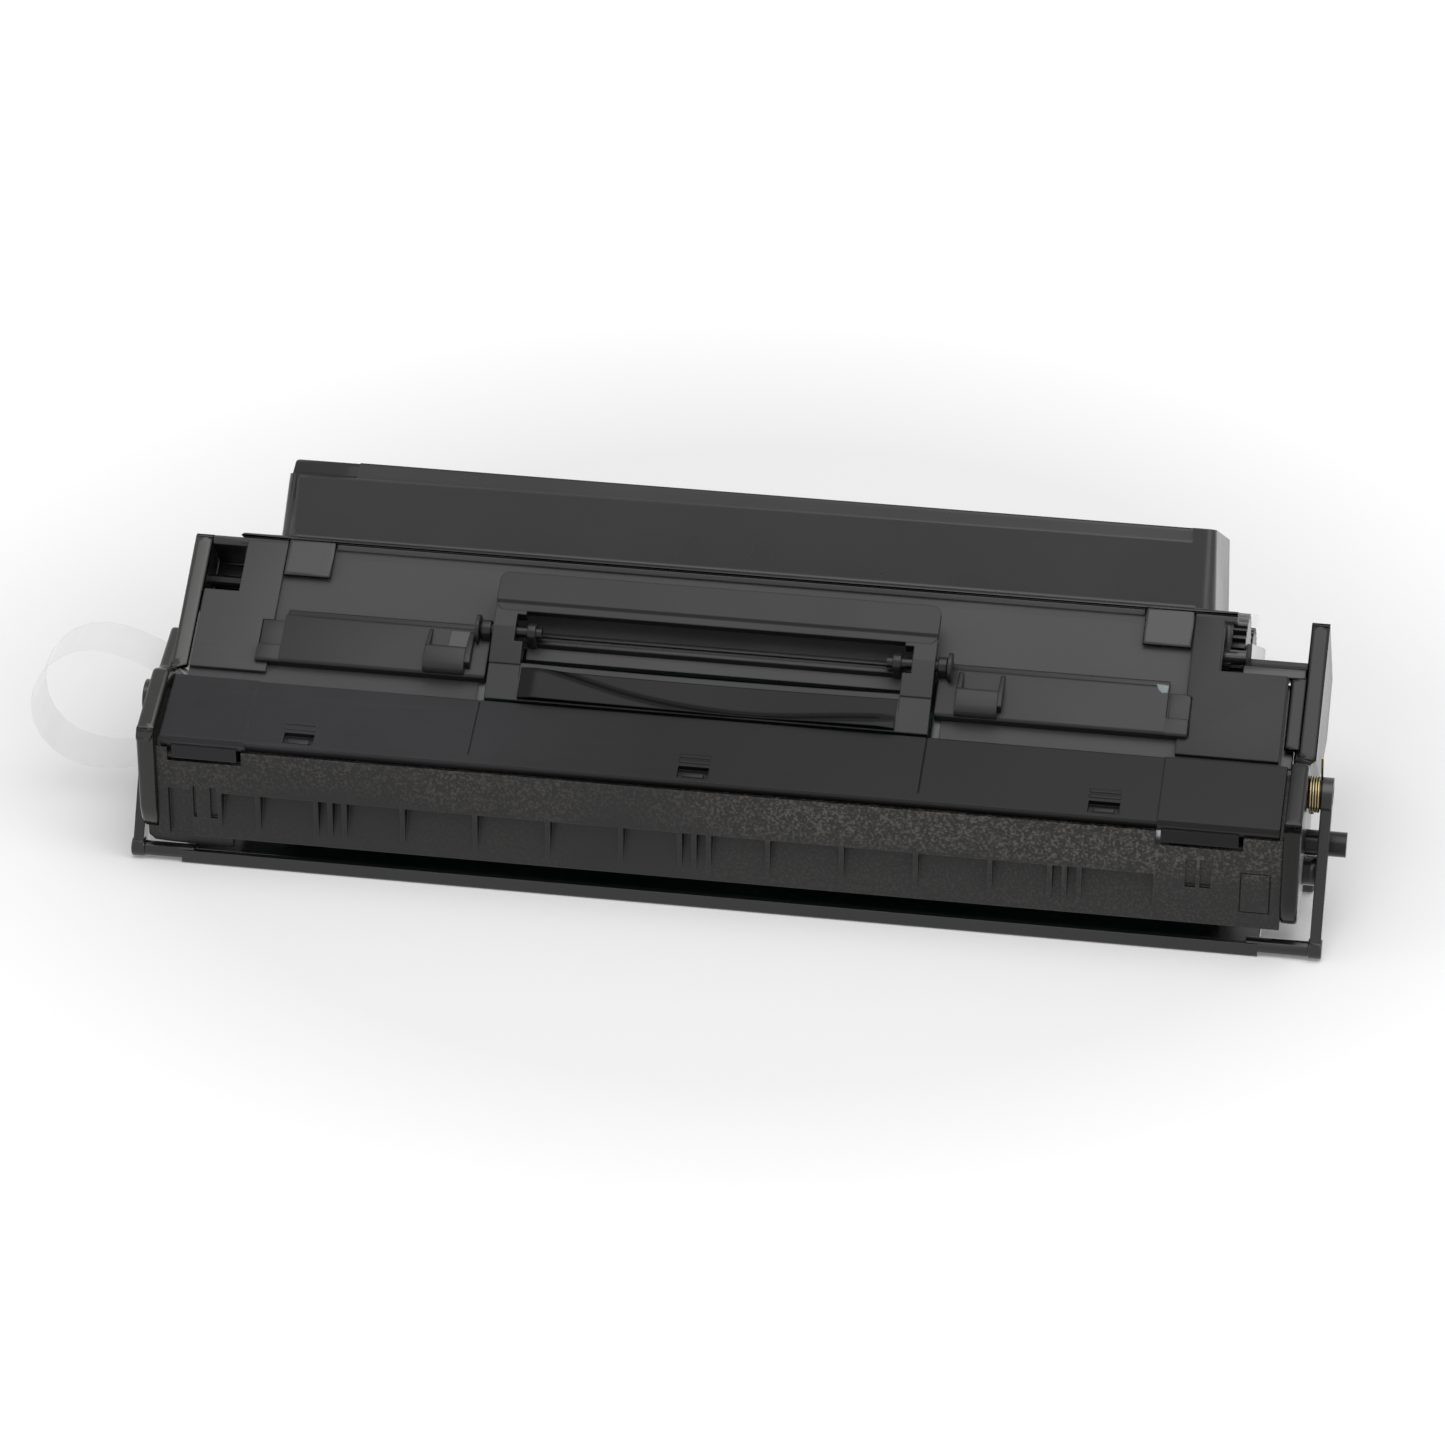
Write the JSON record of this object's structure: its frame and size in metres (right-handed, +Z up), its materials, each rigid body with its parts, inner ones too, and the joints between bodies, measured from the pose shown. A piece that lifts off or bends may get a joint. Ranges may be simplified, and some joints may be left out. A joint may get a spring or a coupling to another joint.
{
  "type": "toner cartridge",
  "caption": "Laser printer toner cartridge with sloped hopper, folding handle, photoconductor drum, gear train and sprung drum shutter.",
  "frame": {"origin": "middle of the flat foot under the hopper, where the cartridge rests", "axes": "+X along the drum towards the gear side, +Y to the back, +Z up"},
  "size_m": [0.3311, 0.1235, 0.0793],
  "materials": {
    "frame_plastic": "fine grain, satin",
    "hopper_plastic": "fine grain, satin",
    "shield_plastic": "satin",
    "handle_plastic": "satin",
    "cover_plastic": "fine grain, satin",
    "wall_plastic": "fine grain, satin",
    "cap_plastic_left": "satin",
    "cap_plastic_right": "satin",
    "side_plastic": "satin",
    "shutter_plastic": "smooth",
    "arm_plastic": "smooth",
    "inner_plastic": "plain",
    "plug_plastic": "plain",
    "gear_plastic": "black acetal",
    "drum_coating": "gloss green photoconductor coat",
    "roller_rubber": "smooth",
    "foam_rubber": "foam",
    "urethane": "smooth",
    "steel": "ground",
    "black_steel": "blackened",
    "zinc_steel": "zinc plated sheet",
    "spring_steel": "drawn wire, straw coloured",
    "film_clear": "clear film"
  },
  "bodies": {
    "cartridge": {"toner_frame": "frame_plastic", "hopper_lid": "hopper_plastic", "light_shield": "shield_plastic", "handle_pin_left": "black_steel", "handle_pin_right": "black_steel", "waste_cover": "cover_plastic", "drum_frame": "wall_plastic", "left_end_cap": "cap_plastic_left", "right_end_cap": "cap_plastic_right", "shutter_spring": "spring_steel", "drum_shaft": "black_steel", "charge_bearing_left": "gear_plastic", "charge_bearing_right": "gear_plastic", "cleaning_blade": "urethane", "blade_bracket": "zinc_steel", "doctor_blade": "zinc_steel", "gear_cover": "side_plastic", "fill_plug": "plug_plastic", "contact_plate": "zinc_steel", "frame_pins": "black_steel", "end_screws": "black_steel", "seal_tab": "film_clear", "pull_strip": "film_clear"},
    "handle": {"carry_handle": "handle_plastic"},
    "shutter_arms": {"shutter_arm_left": "arm_plastic", "shutter_arm_right": "arm_plastic"},
    "shutter": {"shutter_panel": "shutter_plastic"},
    "drum": {"drum_tube": "drum_coating", "drum_hub": "gear_plastic", "drum_gear": "gear_plastic"},
    "charge": {"charge_roller": "roller_rubber", "charge_shaft": "steel"},
    "developer": {"developer_roller": "roller_rubber", "developer_shaft": "steel", "developer_gear": "gear_plastic"},
    "supply": {"supply_roller": "foam_rubber", "supply_shaft": "steel", "supply_gear": "gear_plastic"},
    "idler": {"idler_gear": "gear_plastic"},
    "transfer": {"transfer_gear": "gear_plastic"},
    "agitator": {"agitator_shaft": "inner_plastic", "agitator_film": "film_clear", "agitator_gear": "gear_plastic"}
  },
  "joints": [
    {"name": "shutter_swing", "type": "hinge", "parent": "cartridge", "child": "shutter_arms", "pos_m": [0, -0.062, 0.035], "axis": [-1, 0, 0], "range_deg": [0, 60], "stiffness_Nm_per_rad": 0.02, "springref_deg": -85.94, "deforming": ["shutter_spring"]},
    {"name": "shutter_fold", "type": "hinge", "parent": "shutter_arms", "child": "shutter", "pos_m": [0, -0.0806, 0.0023], "axis": [-1, 0, 0], "range_deg": [0, 35]},
    {"name": "handle_fold", "type": "hinge", "parent": "cartridge", "child": "handle", "pos_m": [0, -0.04904, 0.05473], "axis": [1, 0, 0], "range_deg": [0, 30]},
    {"name": "drum_spin", "type": "hinge", "parent": "cartridge", "child": "drum", "pos_m": [0, -0.0595, 0.0198], "axis": [1, 0, 0], "continuous": true},
    {"name": "charge_spin", "type": "hinge", "parent": "cartridge", "child": "charge", "pos_m": [0, -0.07199, 0.03028], "axis": [1, 0, 0], "continuous": true},
    {"name": "developer_spin", "type": "hinge", "parent": "cartridge", "child": "developer", "pos_m": [0, -0.0403, 0.0198], "axis": [1, 0, 0], "continuous": true},
    {"name": "supply_spin", "type": "hinge", "parent": "cartridge", "child": "supply", "pos_m": [0, -0.02661, 0.02271], "axis": [1, 0, 0], "continuous": true},
    {"name": "idler_spin", "type": "hinge", "parent": "cartridge", "child": "idler", "pos_m": [0.12, -0.03347, 0.03156], "axis": [1, 0, 0], "continuous": true},
    {"name": "transfer_spin", "type": "hinge", "parent": "cartridge", "child": "transfer", "pos_m": [0.12, -0.01598, 0.04126], "axis": [1, 0, 0], "continuous": true},
    {"name": "agitator_spin", "type": "hinge", "parent": "cartridge", "child": "agitator", "pos_m": [0, 0.00636, 0.02184], "axis": [1, 0, 0], "continuous": true}
  ],
  "couplings": [
    {"joint": "shutter_fold", "follows": "shutter_swing", "ratio": 0.58},
    {"joint": "charge_spin", "follows": "drum_spin", "ratio": -2.8235},
    {"joint": "developer_spin", "follows": "drum_spin", "ratio": -1.6667},
    {"joint": "supply_spin", "follows": "drum_spin", "ratio": -2.5},
    {"joint": "idler_spin", "follows": "drum_spin", "ratio": 1.875},
    {"joint": "transfer_spin", "follows": "drum_spin", "ratio": -0.88235},
    {"joint": "agitator_spin", "follows": "drum_spin", "ratio": 0.75}
  ]
}
